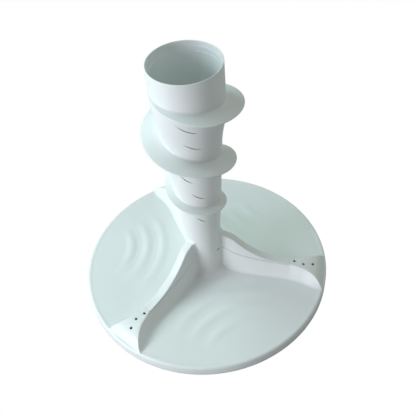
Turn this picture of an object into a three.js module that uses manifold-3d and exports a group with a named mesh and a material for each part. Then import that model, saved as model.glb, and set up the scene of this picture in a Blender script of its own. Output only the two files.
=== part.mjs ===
// Top-load washing-machine agitator: a wash plate with three vanes, a hollow column and a
// one-way auger that turns on it. Millimetres, +Z up, origin at the centre of the plate's underside.
import * as THREE from 'three';
import { mergeVertices } from 'three/addons/utils/BufferGeometryUtils.js';
import Module from 'manifold-3d';

const wasm = await Module();
wasm.setup();

// ---- driving dimensions ----
const PLATE_RADIUS = 225;
const PLATE_TOP = 20.6;
const PLATE_RIM_TOP = 20.9;
const PLATE_WALL = 3;
const RIM_WALL = 2.4;
const RIM_ROUND = 4.5;
const HUB_HOLE_RADIUS = 30;
const VANE_AZIMUTHS = [-15.3, 104.7, 224.7];
const SECTOR_AZIMUTHS = [44.7, 164.7, 284.7];
const VANE_CAP_END = 157;
const SHELL = 2.6;
const GAP = 0.3;

const SHOULDER_Z = 188;
const NECK_RADIUS = 33.2;
const NECK_TOP = 300;
const AUGER_BOTTOM = 188.4;
const AUGER_TOP = 462;
const CUP_RADIUS = 55.2;
const AUGER_WEB_TOP = 301;
const CAP_LEDGE_Z = 339;

const CAM_BOTTOM = 301.6;
const CAM_FLANGE = 2.8;
const CAM_TOP = 318;
const CAM_HUB_RADIUS = 17;
const CAM_FLANGE_RADIUS = 35.5;
const DOG_COUNT = 4;
const DOG_PIVOT_RADIUS = 26;
const DOG_POST_RADIUS = 2.8;
const TOOTH_TIP_RADIUS = 37.5;
const TOOTH_COUNT = 16;
const BOLT_RADIUS = 4;
const BOLT_HOLE_RADIUS = 4.5;

const SCREW_STATIONS = [60, 88];
const SCREW_RADIUS = 1.5;

const ROUND = 36;
const PLATE_ROUND = 60;
const RING_ROUND = 24;
const SMALL_ROUND = 16;

const rad = THREE.MathUtils.degToRad;

// ---- curves ----

// Smooth curve y(x) through a few points, without overshoot between them.
function curveThrough(points) {
  const steps = points.slice(1).map(([x, y], i) => (y - points[i][1]) / (x - points[i][0]));
  const slopes = points.map((_, i) => {
    if (i === 0) return steps[0];
    if (i === points.length - 1) return steps[i - 1];
    const [a, b] = [steps[i - 1], steps[i]];
    return a * b <= 0 ? 0 : (2 * a * b) / (a + b);
  });
  return (x) => {
    const last = points.length - 1;
    if (x <= points[0][0]) return points[0][1];
    if (x >= points[last][0]) return points[last][1];
    const i = points.findIndex((p, k) => k < last && x < points[k + 1][0]);
    const width = points[i + 1][0] - points[i][0];
    const t = (x - points[i][0]) / width;
    const blend = t * t * (3 - 2 * t);
    const start = t * (1 - t) * (1 - t) * width * slopes[i];
    const end = t * t * (t - 1) * width * slopes[i + 1];
    return points[i][1] + (points[i + 1][1] - points[i][1]) * blend + start + end;
  };
}

// Auger barrel: outer radius at height z.
const barrelRadius = curveThrough([
  [AUGER_BOTTOM, 37.7], [240, 40.4], [308, 44.4], [340, 48.1], [365, 53], [388, CUP_RADIUS]]);

// Helical fin, followed by an angle that keeps growing as the fin winds down the barrel.
const FIN_START = 187;
const FIN_END = 1100;
const finRootZ = curveThrough([
  [FIN_START, 427], [270, 414.5], [340, 400], [620, 320.5], [931, 224], [992, 210], [1042, 201],
  [FIN_END, 194]]);
const finRadius = curveThrough([
  [FIN_START, 56.5], [246, 68.5], [275, 77.5], [300, 81.5], [350, 81.8], [543, 77.8], [655, 73.5],
  [720, 66], [903, 54], [985, 54], [1060, 48.5], [FIN_END, 40]]);

// Vane: ridge height, parting line and half-widths at radial distance s from the axis.
const ridgeZ = curveThrough([
  [30, 110], [42, 106], [54, 100], [67, 86.5], [85, 70], [105, 57.5], [125, 49.5], [157, 44.5],
  [182, 42.9], [196, 40.8], [206, 37.2], [213, 31.2],
  [219.5, PLATE_TOP]]);
const partingZ = curveThrough([
  [30, 80], [38, 76], [64, 62.5], [85, 55.5], [106, 50.5], [125, 46.3], [VANE_CAP_END, 42.5]]);
const ridgeHalfWidth = curveThrough([
  [30, 7], [157, 7.3], [172, 10.5], [182, 13], [192, 17], [206, 25.5], [213, 31.5], [219.5, 38]]);
const footHalfWidth = curveThrough([
  [30, 10], [48, 13], [62, 16.5], [77, 19], [109, 21], [152, 22.5], [180, 27.5], [207, 37.5],
  [219.5, 39.5]]);

function vaneHalfWidth(s, z) {
  const depth = THREE.MathUtils.clamp((ridgeZ(s) - z) / Math.max(ridgeZ(s) - PLATE_TOP, 1), 0, 1);
  const flare = 0.6 * depth + 0.4 * depth * depth;
  return ridgeHalfWidth(s) + (footHalfWidth(s) - ridgeHalfWidth(s)) * flare;
}

// ---- solids ----

function signedVolume(position, index) {
  const [a, b, c] = [new THREE.Vector3(), new THREE.Vector3(), new THREE.Vector3()];
  let volume = 0;
  for (let i = 0; i < index.length; i += 3) {
    a.fromArray(position, 3 * index[i]);
    b.fromArray(position, 3 * index[i + 1]);
    c.fromArray(position, 3 * index[i + 2]);
    volume += a.dot(b.cross(c)) / 6;
  }
  return volume;
}

// Closed three.js geometry to a manifold solid with its faces pointing out.
function solid(geometry) {
  const bare = geometry.clone();
  bare.deleteAttribute('normal');
  bare.deleteAttribute('uv');
  const merged = mergeVertices(bare, 1e-3);
  const source = merged.index.array;
  const index = [];
  for (let i = 0; i < source.length; i += 3) {
    const [a, b, c] = [source[i], source[i + 1], source[i + 2]];
    if (a !== b && b !== c && c !== a) index.push(a, b, c);
  }
  const vertProperties = new Float32Array(merged.attributes.position.array);
  const triVerts = new Uint32Array(index);
  if (signedVolume(vertProperties, triVerts) < 0) triVerts.reverse();
  return new wasm.Manifold(new wasm.Mesh({ numProp: 3, vertProperties, triVerts }));
}

// Revolved solid from [radius, z] points that start and end on the axis or close on themselves.
function turned(outline, segments = ROUND) {
  const points = outline.map(([r, z]) => new THREE.Vector2(r, z));
  const onAxis = outline[0][0] === 0 && outline[outline.length - 1][0] === 0;
  if (!onAxis) points.push(points[0].clone());
  return solid(new THREE.LatheGeometry(points, segments).rotateX(Math.PI / 2));
}

function rod(radius, bottom, top, segments = SMALL_ROUND) {
  return turned([[0, bottom], [radius, bottom], [radius, top], [0, top]], segments);
}

function ring(inner, outer, bottom, top, segments = ROUND) {
  return turned([[inner, bottom], [outer, bottom], [outer, top], [inner, top]], segments);
}

function prism(shape, bottom, top, curveSegments = 6) {
  const geometry = new THREE.ExtrudeGeometry(shape, {
    depth: top - bottom, bevelEnabled: false, curveSegments });
  return solid(geometry.translate(0, 0, bottom));
}

// Solid skin over a row of sections, each an array of the same number of points.
function loft(sections) {
  const count = sections[0].length;
  const position = sections.flat().flatMap((p) => [p.x, p.y, p.z]);
  const index = [];
  for (let i = 0; i < sections.length - 1; i += 1) {
    for (let k = 0; k < count; k += 1) {
      const [a, b] = [i * count + k, i * count + (k + 1) % count];
      index.push(a, b, b + count, a, b + count, a + count);
    }
  }
  const endStart = (sections.length - 1) * count;
  for (let k = 1; k < count - 1; k += 1) {
    index.push(0, k + 1, k);
    index.push(endStart, endStart + k, endStart + k + 1);
  }
  const geometry = new THREE.BufferGeometry();
  geometry.setAttribute('position', new THREE.Float32BufferAttribute(position, 3));
  geometry.setIndex(index);
  return solid(geometry);
}

const join = (first, ...others) => others.reduce((whole, piece) => whole.add(piece), first);
const cut = (first, ...others) => others.reduce((whole, tool) => whole.subtract(tool), first);
const turnedTo = (piece, azimuth) => piece.rotate([0, 0, azimuth]);

// Evenly spaced values from start to end.
function stations(start, end, count) {
  return Array.from({ length: count }, (_, i) => start + (end - start) * i / (count - 1));
}

// Star outline with straight-sided teeth, used for every spline.
function splineShape(inner, outer, teeth) {
  const shape = new THREE.Shape();
  for (let i = 0; i < teeth * 4; i += 1) {
    const radius = i % 4 < 2 ? outer : inner;
    const angle = 2 * Math.PI * (i + 0.5) / (teeth * 4);
    const [x, y] = [radius * Math.cos(angle), radius * Math.sin(angle)];
    if (i === 0) shape.moveTo(x, y);
    else shape.lineTo(x, y);
  }
  return shape;
}

function hexShape(circumradius) {
  const shape = new THREE.Shape();
  for (let i = 0; i < 6; i += 1) {
    const angle = Math.PI * i / 3;
    const point = [circumradius * Math.cos(angle), circumradius * Math.sin(angle)];
    if (i === 0) shape.moveTo(...point);
    else shape.lineTo(...point);
  }
  return shape;
}

// ---- vanes ----

// Vane-shaped solid along +X between two heights given as functions of s, shrunk by inset.
function vaneSolid(sList, bottomAt, topAt, inset = 0) {
  const sections = sList.map((s) => {
    const [bottom, top] = [bottomAt(s), topAt(s)];
    const levels = [bottom, (bottom + top) / 2, top];
    const side = levels.map((z) => new THREE.Vector3(s, vaneHalfWidth(s, z) - inset, z));
    const mirror = side.map((p) => new THREE.Vector3(p.x, -p.y, p.z)).reverse();
    return [...side, ...mirror];
  });
  return loft(sections);
}

const LOW_STATIONS = [34, 42, 50, 60, 70, 82, 96, 112, 130, VANE_CAP_END];
const FOOT_STATIONS = [VANE_CAP_END, 172, 184, 195, 203, 210, 215, 219];
const CAP_STATIONS = [26, ...LOW_STATIONS.slice(0, -1), VANE_CAP_END - GAP];
const BOSS_DEPTH = 9;
const BOSS_RADIUS = 5.5;
const CAP_BOSS_RADIUS = 4.5;
const CAP_BOSS_DEPTH = 8;
const SCREW_CLEARANCE_RADIUS = 2.2;
const FOOT_HOLES = [[165.9, 2], [182.4, -2], [199.5, 2]];
const FOOT_HOLE_RADIUS = 2.5;

const belowPlate = () => PLATE_TOP - PLATE_WALL / 2;

function plateRib() {
  const lower = vaneSolid(LOW_STATIONS, belowPlate, (s) => partingZ(s) - GAP / 2);
  const foot = vaneSolid(FOOT_STATIONS, belowPlate, (s) => Math.max(ridgeZ(s), PLATE_TOP + 0.2));
  const bosses = SCREW_STATIONS.map((s) => rod(BOSS_RADIUS, partingZ(s) - BOSS_DEPTH, ridgeZ(s))
    .translate([s, 0, 0]).intersect(lower));
  return { outer: lower.add(foot), bosses };
}

function plateRibCavity() {
  const lower = LOW_STATIONS.slice(0, -1).map((s) => s + 4);
  const under = () => -1;
  const hollow = vaneSolid(lower, under, (s) => partingZ(s) - GAP / 2 - SHELL, SHELL);
  const footStations = [lower[lower.length - 1], VANE_CAP_END, 172, 184, 195, 203, 209];
  const foot = vaneSolid(footStations, under, (s) => ridgeZ(Math.max(s, VANE_CAP_END)) - SHELL, SHELL);
  return hollow.add(foot);
}

function vaneCap() {
  const parting = (s) => partingZ(s) + GAP / 2;
  const outer = vaneSolid(CAP_STATIONS, parting, ridgeZ);
  const hollow = vaneSolid([38, 48, 60, 76, 90, 104], (s) => partingZ(s) - 1,
    (s) => ridgeZ(s) - SHELL, SHELL);
  const bosses = SCREW_STATIONS.map((s) => (
    rod(CAP_BOSS_RADIUS, partingZ(s) - CAP_BOSS_DEPTH, ridgeZ(s)).translate([s, 0, 0]).intersect(outer)));
  return join(cut(outer, hollow), ...bosses);
}

const screwReach = (s) => Math.min(partingZ(s) + 16, ridgeZ(s) - 4.5);

function screwHoles(radius, extra) {
  return SCREW_STATIONS.map((s) => rod(radius, partingZ(s) - BOSS_DEPTH - 1, screwReach(s) + extra, 12)
    .translate([s, 0, 0]));
}

// ---- slots with a raised lip, in the column and the barrel ----

const SLOT_SPREAD = 16;
const COLUMN_SLOT_SPREAD = 12;
const SLOT_FALL = 0.47;
const SLOT_CURVE = 0.012;
const SLOT_HEIGHT = 1.5;
const SLOT_DEPTH = 4;
const LIP_RISE = 0.9;
const LIP_HEIGHT = 6;

// Band that slants down round a wall: section gives its [outward, upward] points for a fullness
// that is 1 in the middle and fades to 0 at both ends.
function slantedBand([azimuth, height], wallRadius, spread, section) {
  return loft(stations(-spread, spread, 7).map((offset) => {
    const fullness = Math.cos(rad(88 * offset / spread));
    return section(fullness).map(([outward, upward]) => {
      const z = height - SLOT_FALL * offset + SLOT_CURVE * offset * offset + upward;
      const [r, theta] = [wallRadius(z) + outward, rad(azimuth + offset)];
      return new THREE.Vector3(r * Math.cos(theta), r * Math.sin(theta), z);
    });
  }));
}

// Lip under a slot: its upper edge stands proud and it fades into the wall below.
function lip(place, wallRadius, spread) {
  return slantedBand(place, wallRadius, spread, (fullness) => {
    const foot = -1 - LIP_HEIGHT * fullness;
    return [[-1.2, 0], [0.1 + LIP_RISE * fullness, 0], [-0.1, foot], [-1.2, foot]];
  });
}

function slot(place, wallRadius, spread) {
  return slantedBand(place, wallRadius, spread, (fullness) => {
    const top = 0.1 + SLOT_HEIGHT * fullness;
    return [[-SLOT_DEPTH, 0], [2, 0], [2, top], [-SLOT_DEPTH, top]];
  });
}

// ---- wash plate ----

const RIPPLE_RADII = [76, 107, 138];
const RIPPLE_HALF_WIDTH = 9;
const RIPPLE_HEIGHT = 1.6;
const RIPPLE_SPREAD = 44;

// Shallow crest along an arc about the rim point in the middle of a sector.
function ripple(radius) {
  const sections = stations(-RIPPLE_SPREAD, RIPPLE_SPREAD, 6).map((angle) => {
    const fade = Math.cos(rad(90 * angle / RIPPLE_SPREAD)) ** 0.7;
    const across = [-1, 0, 1].map((w) => [w, RIPPLE_HEIGHT * fade * (1 - w * w)]);
    const crest = across.map(([w, rise]) => [w, PLATE_TOP - 0.1 + rise]);
    return [[-1, PLATE_TOP - 1], ...crest, [1, PLATE_TOP - 1]].map(([w, z]) => {
      const r = radius + w * RIPPLE_HALF_WIDTH;
      return new THREE.Vector3(PLATE_RADIUS - r * Math.cos(rad(angle)), r * Math.sin(rad(angle)), z);
    });
  });
  return loft(sections);
}

function plateDisc() {
  const under = PLATE_TOP - PLATE_WALL;
  const rim = [0, 45, 90].map((angle) => [
    PLATE_RADIUS - RIM_ROUND * (1 - Math.cos(rad(angle))),
    PLATE_RIM_TOP - RIM_ROUND * (1 - Math.sin(rad(angle)))]);
  return turned([
    [HUB_HOLE_RADIUS, under], [PLATE_RADIUS - RIM_WALL, under], [PLATE_RADIUS - RIM_WALL, 0],
    [PLATE_RADIUS, 0], ...rim, [PLATE_RADIUS - 2 * RIM_ROUND, PLATE_TOP],
    [HUB_HOLE_RADIUS, PLATE_TOP]], PLATE_ROUND);
}

const STIFFENER_BOTTOM = 3;
const STIFFENER_WALL = 1.8;
const STIFFENER_SPREAD = 28;
const HOOP_WALL = 2.2;
const HOOP_RADII = [HUB_HOLE_RADIUS, 92, 158];

// Straight ribs and round ones under the plate.
function stiffeners() {
  const [bottom, top] = [STIFFENER_BOTTOM, belowPlate()];
  const spokes = SECTOR_AZIMUTHS.flatMap((middle) => [-1, 0, 1].map((side) => {
    const [near, far] = [HUB_HOLE_RADIUS + 1, PLATE_RADIUS - RIM_WALL / 2];
    const box = solid(new THREE.BoxGeometry(far - near, STIFFENER_WALL, top - bottom));
    const placed = box.translate([(near + far) / 2, 0, (top + bottom) / 2]);
    return turnedTo(placed, middle + side * STIFFENER_SPREAD);
  }));
  const hoops = HOOP_RADII.map((r) => ring(r, r + HOOP_WALL, bottom, top, RING_ROUND));
  return [...spokes, ...hoops];
}

function washPlate() {
  const rib = plateRib();
  const cavity = plateRibCavity();
  const holes = FOOT_HOLES.map(([s, t]) => rod(FOOT_HOLE_RADIUS, 0, 60, 12).translate([s, t, 0]));
  const ripples = RIPPLE_RADII.map(ripple);
  let plate = join(plateDisc(), ...stiffeners());
  for (const azimuth of SECTOR_AZIMUTHS) {
    plate = join(plate, ...ripples.map((crest) => turnedTo(crest, azimuth)));
  }
  for (const azimuth of VANE_AZIMUTHS) {
    plate = cut(plate.add(turnedTo(rib.outer, azimuth)), turnedTo(cavity, azimuth));
    plate = join(plate, ...rib.bosses.map((boss) => turnedTo(boss, azimuth)));
    const tools = [...holes, ...screwHoles(SCREW_CLEARANCE_RADIUS, 0)];
    plate = cut(plate, ...tools.map((tool) => turnedTo(tool, azimuth)));
  }
  return cut(plate, columnClearance());
}

// ---- column and neck ----

const FLARE_RADIUS = 17;
const COLUMN_WAIST = 32.4;
const BORE_RADIUS = 29.4;
const SPIGOT_BOTTOM = 4;
const CORE_BOTTOM = 246;
const RELIEF_RADIUS = 25.6;
const BLOCK_CIRCUMRADIUS = 23;
const BLOCK_TOP = 291.6;
const DRAIN_HOLE = { azimuthFromSector: 33, z: 78, radius: 2.6 };
const SEAT_SPLINE = { inner: 12.5, outer: 14, teeth: 12, top: CAM_TOP - 4.5 };

const columnRadius = curveThrough([
  [50, COLUMN_WAIST], [112, COLUMN_WAIST + 0.1], [157, 34.6], [SHOULDER_Z, 36.2]]);
const COLUMN_SLOT = [268, 175.5];

// Outside of the column from the plate up to the shoulder, grown by extra.
function columnOutside(extra) {
  const base = PLATE_TOP + GAP;
  const flare = stations(0, 90, 6).map((angle) => [
    COLUMN_WAIST + FLARE_RADIUS * (1 - Math.sin(rad(angle))) + extra,
    base + FLARE_RADIUS * (1 - Math.cos(rad(angle)))]);
  return [...flare, ...[112, 157, SHOULDER_Z].map((z) => [columnRadius(z) + extra, z])];
}

// Space in the plate for the column, with a fitting gap all round.
function columnClearance() {
  const outside = columnOutside(GAP);
  return turned([[0, PLATE_TOP], [outside[0][0], PLATE_TOP], ...outside, [0, SHOULDER_Z]]);
}

function agitatorBase() {
  const spigot = HUB_HOLE_RADIUS - GAP - 0.1;
  const body = turned([
    [spigot - PLATE_WALL, SPIGOT_BOTTOM], [spigot, SPIGOT_BOTTOM], [spigot, PLATE_TOP + GAP],
    ...columnOutside(0), [NECK_RADIUS, SHOULDER_Z], [NECK_RADIUS, NECK_TOP], [0, NECK_TOP],
    [0, CORE_BOTTOM], [BORE_RADIUS, CORE_BOTTOM], [BORE_RADIUS, 30], [spigot - PLATE_WALL, 24]]);
  const seat = prism(splineShape(SEAT_SPLINE.inner, SEAT_SPLINE.outer, SEAT_SPLINE.teeth),
    NECK_TOP - 2, SEAT_SPLINE.top);
  const caps = VANE_AZIMUTHS.map((azimuth) => turnedTo(vaneCap(), azimuth));
  const bore = rod(BORE_RADIUS - 0.5, SPIGOT_BOTTOM - 1, CORE_BOTTOM - 0.5, ROUND);
  const pocket = prism(hexShape(BLOCK_CIRCUMRADIUS + GAP), CORE_BOTTOM - 1, BLOCK_TOP + GAP);
  const relief = ring(RELIEF_RADIUS, BORE_RADIUS + 0.8, CORE_BOTTOM - 1, BLOCK_TOP - 2);
  const boltHole = rod(BOLT_HOLE_RADIUS, CORE_BOTTOM, CAM_TOP);
  const drains = SECTOR_AZIMUTHS.map((azimuth) => {
    const hole = solid(new THREE.CylinderGeometry(DRAIN_HOLE.radius, DRAIN_HOLE.radius, 12, 12));
    const placed = hole.rotate([0, 0, 90]).translate([COLUMN_WAIST, 0, DRAIN_HOLE.z]);
    return turnedTo(placed, azimuth + DRAIN_HOLE.azimuthFromSector);
  });
  const screws = VANE_AZIMUTHS.flatMap((azimuth) => screwHoles(SCREW_RADIUS + GAP, 1)
    .map((hole) => turnedTo(hole, azimuth)));
  const raised = cut(lip(COLUMN_SLOT, columnRadius, COLUMN_SLOT_SPREAD), bore);
  const whole = join(body, ...caps.map((cap) => cut(cap, bore)), seat, raised);
  const groove = slot(COLUMN_SLOT, columnRadius, COLUMN_SLOT_SPREAD);
  return cut(whole, pocket, relief, boltHole, groove, ...drains, ...screws);
}

// ---- auger ----

const AUGER_WALL = 2.6;
const FIN_STATIONS = 77;
const FIN_SLOPE = 0.16;
const FIN_ROOT = 4.2;
const FIN_EDGE = 2.4;
const TOOTH_DEPTH = 3.2;
const TOOTH_TOP = 325;
const SLOTS = [[262, 383], [268, 347], [357, 313], [246, 274], [268, 235]];

const inside = (z) => barrelRadius(z) - AUGER_WALL;

function barrelOutline() {
  const outer = [AUGER_BOTTOM, 240, 280, 308, 324, 340, 352, 364, 376, 388]
    .map((z) => [barrelRadius(z), z]);
  const rim = [[CUP_RADIUS, AUGER_TOP - 0.6], [CUP_RADIUS - 0.6, AUGER_TOP], [53.6, AUGER_TOP]];
  const steps = [[53.6, 454.4], [52.8, 453.6], [52.8, 446.2], [52, 445.4]];
  const upper = [388, 364, 343].map((z) => [inside(z), z]);
  const ledge = [[inside(CAP_LEDGE_Z), CAP_LEDGE_Z], [42.5, CAP_LEDGE_Z], [42.5, CAP_LEDGE_Z - 3]];
  const middle = [[inside(336), CAP_LEDGE_Z - 3], [inside(AUGER_WEB_TOP), AUGER_WEB_TOP]];
  const web = [[NECK_RADIUS + 0.5, AUGER_WEB_TOP], [NECK_RADIUS + 0.5, 297.5], [inside(297.5), 297.5]];
  const lower = [[inside(240), 240], [inside(194), 194]];
  const foot = [[NECK_RADIUS + 0.7, 194], [NECK_RADIUS + 0.7, 191], [36.5, 191], [36.5, AUGER_BOTTOM]];
  return [...outer, ...rim, ...steps, ...upper, ...ledge, ...middle, ...web, ...lower, ...foot];
}

// Shelf that winds down the barrel, sloping gently down towards its outer edge.
function fin() {
  return loft(stations(FIN_START, FIN_END, FIN_STATIONS).map((theta) => {
    const root = finRootZ(theta);
    const [inner, outer] = [barrelRadius(root) - 1.4, finRadius(theta)];
    const drop = FIN_SLOPE * (outer - inner);
    const at = (r, z) => new THREE.Vector3(r * Math.cos(rad(theta)), r * Math.sin(rad(theta)), z);
    return [at(inner, root), at(outer, root - drop), at(outer, root - drop - FIN_EDGE),
      at(inner, root - FIN_ROOT)];
  }));
}

// Saw-toothed ring that the clutch dogs catch when the base turns one way.
function ratchetRing() {
  const shape = new THREE.Shape().absarc(0, 0, CUP_RADIUS, 0, 2 * Math.PI, false);
  const teeth = new THREE.Path();
  const pitch = 2 * Math.PI / TOOTH_COUNT;
  for (let i = 0; i < TOOTH_COUNT; i += 1) {
    const start = i * pitch;
    const end = start + 0.85 * pitch;
    const root = TOOTH_TIP_RADIUS + TOOTH_DEPTH;
    if (i === 0) teeth.moveTo(TOOTH_TIP_RADIUS, 0);
    else teeth.lineTo(TOOTH_TIP_RADIUS * Math.cos(start), TOOTH_TIP_RADIUS * Math.sin(start));
    teeth.lineTo(root * Math.cos(end), root * Math.sin(end));
  }
  shape.holes.push(teeth);
  const core = turned([[0, 290], [barrelRadius(290) - 1, 290], [barrelRadius(330) - 1, 330], [0, 330]]);
  return prism(shape, AUGER_WEB_TOP - 1, TOOTH_TOP).intersect(core);
}

function auger() {
  const core = turned([[0, 180], ...[180, 240, 308, 340, 365, 388].map((z) => [inside(z) - 0.2, z]),
    [52, 450], [0, 450]]);
  const shell = turned(barrelOutline());
  const lips = SLOTS.map((place) => lip(place, barrelRadius, SLOT_SPREAD));
  const outerParts = [fin(), ...lips].map((piece) => cut(piece, core));
  const slots = SLOTS.map((place) => slot(place, barrelRadius, SLOT_SPREAD));
  return cut(join(shell, ...outerParts, ratchetRing()), ...slots);
}

// ---- clutch and drive ----

const thrustRing = () => ring(NECK_RADIUS + 0.4, 36, SHOULDER_Z + GAP, AUGER_BOTTOM + 2.3, RING_ROUND);

const BLOCK_BOTTOM = 250;
const SOCKET_SPLINE = { inner: 10, outer: 11.3, teeth: 16 };

function driveBlock() {
  const { inner, outer, teeth } = SOCKET_SPLINE;
  const socket = prism(splineShape(inner, outer, teeth), BLOCK_BOTTOM - 1, BLOCK_TOP + 1);
  return cut(prism(hexShape(BLOCK_CIRCUMRADIUS), BLOCK_BOTTOM, BLOCK_TOP), socket);
}

function dogPosition(index) {
  const angle = 2 * Math.PI * index / DOG_COUNT;
  return [DOG_PIVOT_RADIUS * Math.cos(angle), DOG_PIVOT_RADIUS * Math.sin(angle), 0];
}

function clutchCam() {
  const flangeTop = CAM_BOTTOM + CAM_FLANGE;
  const posts = Array.from({ length: DOG_COUNT }, (_, i) => (
    rod(DOG_POST_RADIUS, flangeTop - 1, CAM_TOP).translate(dogPosition(i))));
  const { inner, outer, teeth } = SEAT_SPLINE;
  const bore = prism(splineShape(inner + GAP, outer + GAP, teeth), CAM_BOTTOM - 1, CAM_TOP - 4);
  const flange = rod(CAM_FLANGE_RADIUS, CAM_BOTTOM, flangeTop, RING_ROUND);
  return cut(join(flange, rod(CAM_HUB_RADIUS, CAM_BOTTOM, CAM_TOP, RING_ROUND), ...posts), bore,
    rod(BOLT_HOLE_RADIUS + 0.5, CAM_BOTTOM, CAM_TOP + 1));
}

// Pawl with its pivot at the origin and its nose along +Y.
function dogShape() {
  const shape = new THREE.Shape();
  shape.absarc(0, 0, 4.6, Math.PI, 2 * Math.PI, false);
  shape.lineTo(4.4, 5);
  shape.quadraticCurveTo(4.4, 10, 3.5, 13.5);
  shape.lineTo(-1.5, 13.5);
  shape.quadraticCurveTo(-4.6, 9, -4.6, 0);
  const hole = new THREE.Path().absarc(0, 0, DOG_POST_RADIUS + GAP, 0, 2 * Math.PI, true);
  shape.holes.push(hole);
  return shape;
}

function clutchDog(index) {
  const dog = prism(dogShape(), CAM_BOTTOM + CAM_FLANGE + GAP, CAM_TOP - GAP);
  return turnedTo(dog, 360 * index / DOG_COUNT).translate(dogPosition(index));
}

const RETAINER_BOTTOM = CAM_TOP + 0.4;
const RETAINER_TOP = RETAINER_BOTTOM + 2.5;
const SEAL_BOTTOM = RETAINER_TOP + GAP;
const SEAL_THICKNESS = 2;
const WASHER_BOTTOM = SEAL_BOTTOM + SEAL_THICKNESS + GAP;
const WASHER_THICKNESS = 1.6;
const BOLT_SEAT = WASHER_BOTTOM + WASHER_THICKNESS + GAP;
const BOLT_HEAD_TOP = BOLT_SEAT + 6.5;
const BOLT_TIP = 268;

const dogRetainer = () => ring(5, 34, RETAINER_BOTTOM, RETAINER_TOP, RING_ROUND);
const boltSeal = () => ring(4.8, 9, SEAL_BOTTOM, SEAL_BOTTOM + SEAL_THICKNESS, SMALL_ROUND);
const boltWasher = () => ring(4.6, 11, WASHER_BOTTOM, WASHER_BOTTOM + WASHER_THICKNESS, SMALL_ROUND);

function hubBolt() {
  const head = prism(hexShape(8.1), BOLT_SEAT, BOLT_HEAD_TOP);
  const chamfer = turned([[0, BOLT_SEAT], [8.3, BOLT_SEAT], [8.3, BOLT_HEAD_TOP - 1.1],
    [6.6, BOLT_HEAD_TOP], [0, BOLT_HEAD_TOP]]);
  const shank = turned([[0, BOLT_TIP], [BOLT_RADIUS - 1, BOLT_TIP], [BOLT_RADIUS, BOLT_TIP + 1.2],
    [BOLT_RADIUS, BOLT_SEAT + 1], [0, BOLT_SEAT + 1]], SMALL_ROUND);
  return join(head.intersect(chamfer), shank);
}

const CAP_SEAL_THICKNESS = 1.5;

function innerCapSeal() {
  const bottom = CAP_LEDGE_Z + GAP;
  return ring(42.8, 44.8, bottom, bottom + CAP_SEAL_THICKNESS);
}

function innerCap() {
  const bottom = CAP_LEDGE_Z + 2 * GAP + CAP_SEAL_THICKNESS;
  return turned([
    [0, bottom + 13], [12, bottom + 12], [28, bottom + 8], [36, bottom], [44.4, bottom],
    [44.4, bottom + 2.4], [37.5, bottom + 2.8], [29.5, bottom + 10.6], [13, bottom + 15],
    [7, bottom + 15.5], [6, bottom + 26], [0, bottom + 27]], RING_ROUND);
}

function plateScrew(station, azimuth) {
  const seat = partingZ(station) - BOSS_DEPTH - GAP;
  const tip = screwReach(station);
  const screw = turned([
    [0, seat - 2.8], [2.6, seat - 2.8], [3.9, seat - 1.6], [3.9, seat], [SCREW_RADIUS, seat],
    [SCREW_RADIUS, tip - 1.5], [0, tip]], 12);
  return turnedTo(screw.translate([station, 0, 0]), azimuth);
}

// ---- materials ----

const material = (color, roughness, metalness = 0) => (
  new THREE.MeshStandardMaterial({ color, roughness, metalness }));
const platePlastic = () => material(0xdfe9e5, 0.42);
const whitePlastic = () => material(0xedf2f2, 0.38);
const innerPlastic = () => material(0xe4e2d8, 0.45);
const dogPlastic = () => material(0xd8c9a4, 0.4);
const blockPlastic = () => material(0x4a4f55, 0.5);
const steel = () => material(0xb9bcc0, 0.3, 1);
const rubber = () => material(0x2c2d2f, 0.8);

// ---- assembly ----

const agitator = new THREE.Group();

function addPart(name, piece, look) {
  const { vertProperties, triVerts } = piece.getMesh();
  const geometry = new THREE.BufferGeometry();
  geometry.setAttribute('position', new THREE.BufferAttribute(vertProperties, 3));
  geometry.setIndex(new THREE.BufferAttribute(triVerts, 1));
  const mesh = new THREE.Mesh(geometry, look);
  mesh.name = name;
  agitator.add(mesh);
}

addPart('wash_plate', washPlate(), platePlastic());
addPart('agitator_base', agitatorBase(), whitePlastic());
addPart('auger', auger(), whitePlastic());
addPart('thrust_ring', thrustRing(), innerPlastic());
addPart('drive_block', driveBlock(), blockPlastic());
addPart('clutch_cam', clutchCam(), innerPlastic());
for (let i = 0; i < DOG_COUNT; i += 1) addPart(`clutch_dog_${i + 1}`, clutchDog(i), dogPlastic());
addPart('dog_retainer', dogRetainer(), innerPlastic());
addPart('bolt_seal', boltSeal(), rubber());
addPart('bolt_washer', boltWasher(), steel());
addPart('hub_bolt', hubBolt(), steel());
addPart('inner_cap_seal', innerCapSeal(), rubber());
addPart('inner_cap', innerCap(), whitePlastic());
VANE_AZIMUTHS.forEach((azimuth, vane) => SCREW_STATIONS.forEach((station, i) => {
  addPart(`plate_screw_${vane * SCREW_STATIONS.length + i + 1}`, plateScrew(station, azimuth), steel());
}));

export default agitator;
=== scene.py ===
"""Looks of a washing-machine agitator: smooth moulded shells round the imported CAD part.

The shells repeat the CAD outlines at a finer pitch, in millimetres, and add the fillets,
rounded edges and step lines of a moulding. Everything is scaled to metres when its mesh is made.
"""

import math

import bmesh
import bpy
import numpy as np
from mathutils import Matrix, Vector


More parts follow.
